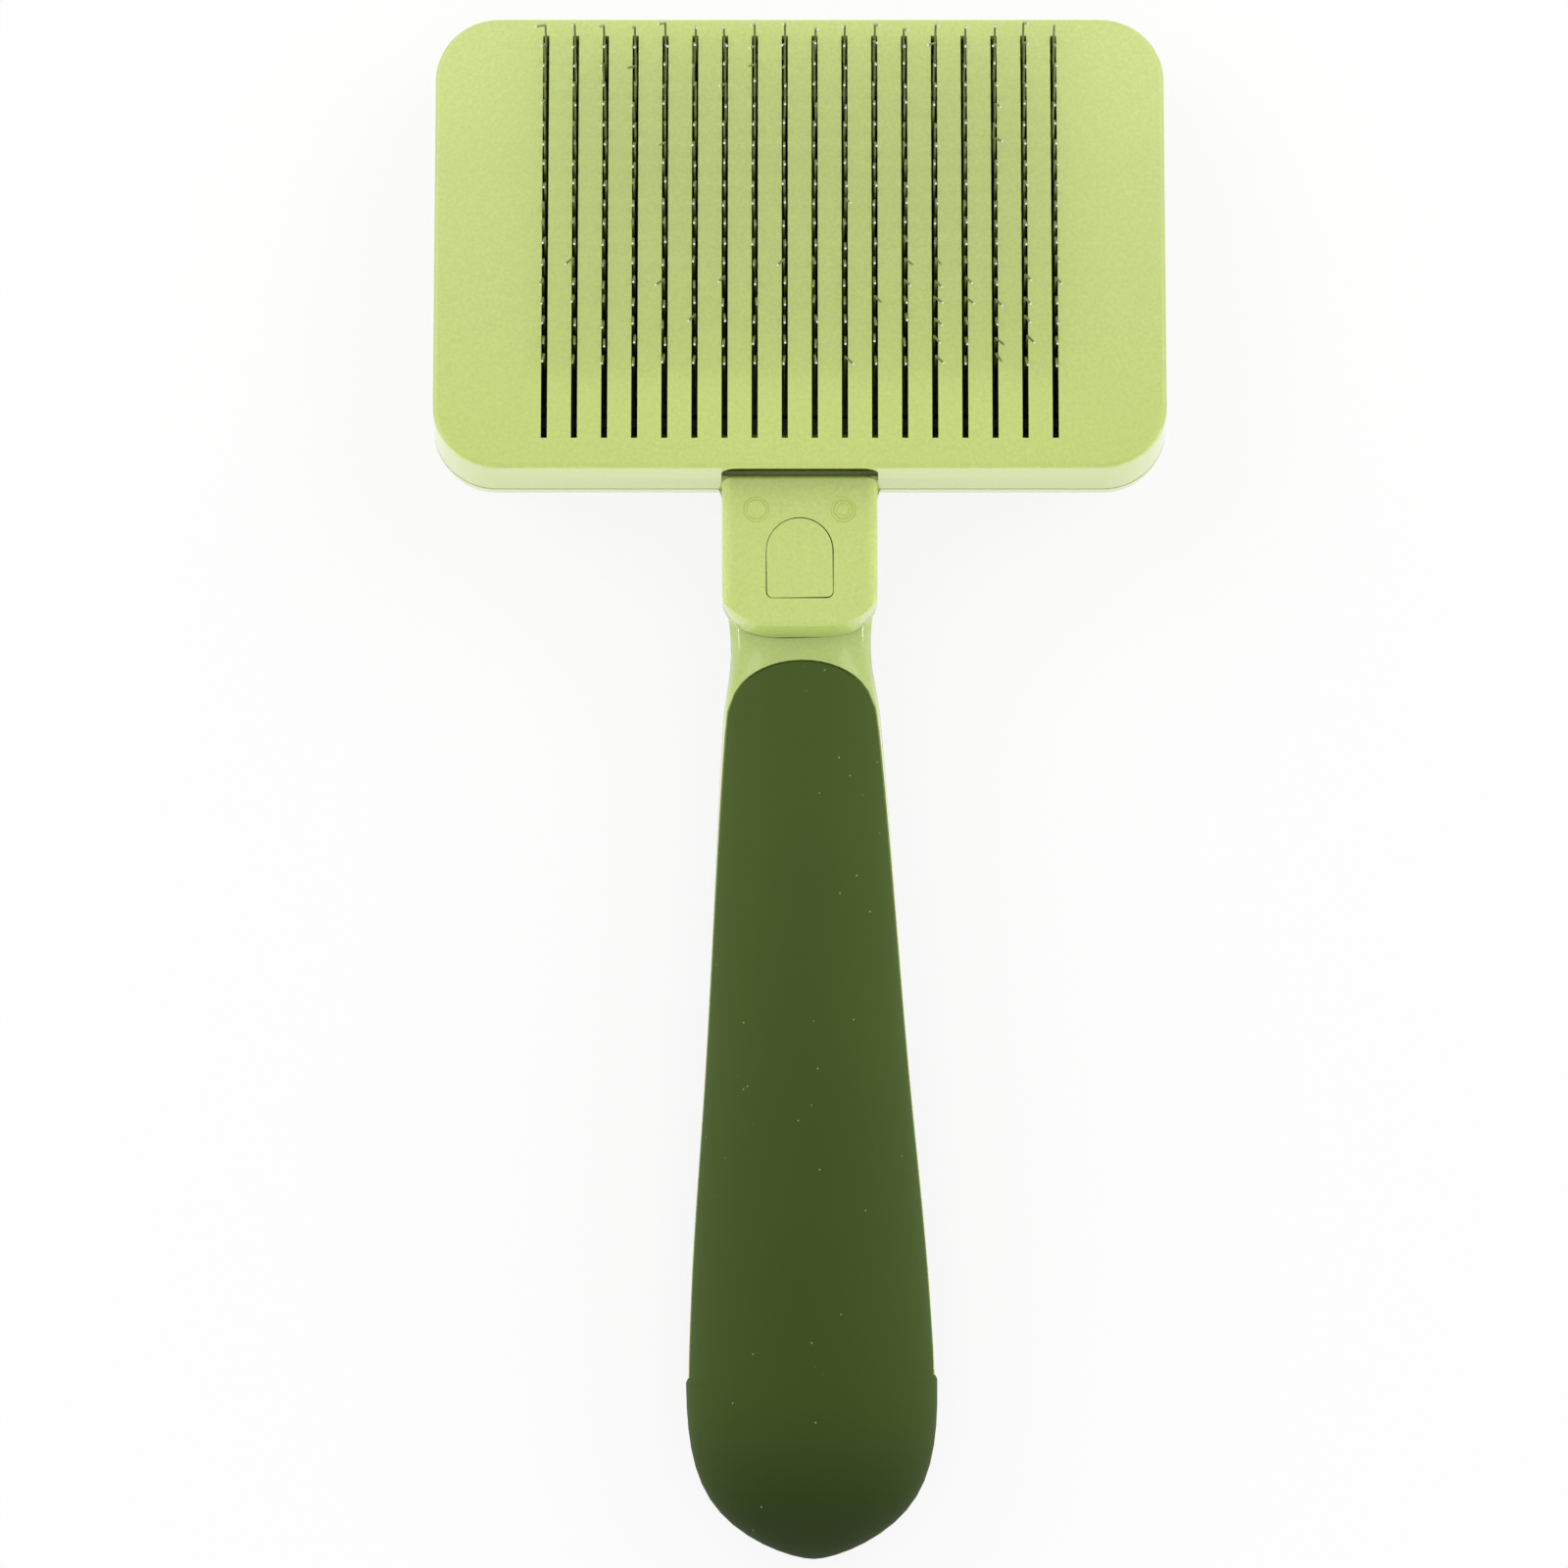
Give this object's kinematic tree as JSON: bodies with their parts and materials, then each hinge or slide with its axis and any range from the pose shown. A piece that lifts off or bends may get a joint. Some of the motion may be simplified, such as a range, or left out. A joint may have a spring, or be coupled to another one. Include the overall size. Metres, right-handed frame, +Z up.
{
  "type": "slicker brush",
  "caption": "Hand-held slicker brush for pet hair: slotted head with bent wire pins that a thumb button slides out and springs draw back, on a rubber-covered handle.",
  "frame": {"origin": "on the surface that the brush lies on, below the middle of its outline", "axes": "+Y from the butt of the handle to the head, +Z up from the surface towards the pins, +X across the head"},
  "size_m": [0.0982, 0.2076, 0.0308],
  "materials": {
    "lime_plastic": "satin",
    "grip_rubber": "matte",
    "dark_plastic": "satin",
    "pin_steel": "satin",
    "spring_steel": "satin",
    "screw_steel": "satin"
  },
  "bodies": {
    "brush": {"front_shell": "lime_plastic", "back_shell": "lime_plastic", "handle_core": "lime_plastic", "grip_cover": "grip_rubber", "shell_screw_1": "screw_steel", "shell_screw_2": "screw_steel", "shell_screw_3": "screw_steel", "shell_screw_4": "screw_steel", "return_spring_1": "spring_steel", "return_spring_2": "spring_steel", "return_spring_3": "spring_steel", "return_spring_4": "spring_steel"},
    "carrier": {"pin_carrier": "dark_plastic", "pin_bank_left": "pin_steel", "pin_bank_middle": "pin_steel", "pin_bank_right": "pin_steel", "thumb_button": "lime_plastic", "button_pad": "grip_rubber", "button_screw_1": "screw_steel", "button_screw_2": "screw_steel"}
  },
  "joints": [
    {"name": "pin_slide", "type": "slide", "parent": "brush", "child": "carrier", "axis": [0, 0.2156, 0.9765], "range_m": [0, 0.007], "stiffness_N_per_m": 600, "springref_m": -0.008, "deforming": ["return_spring_1", "return_spring_2", "return_spring_3", "return_spring_4"]}
  ]
}
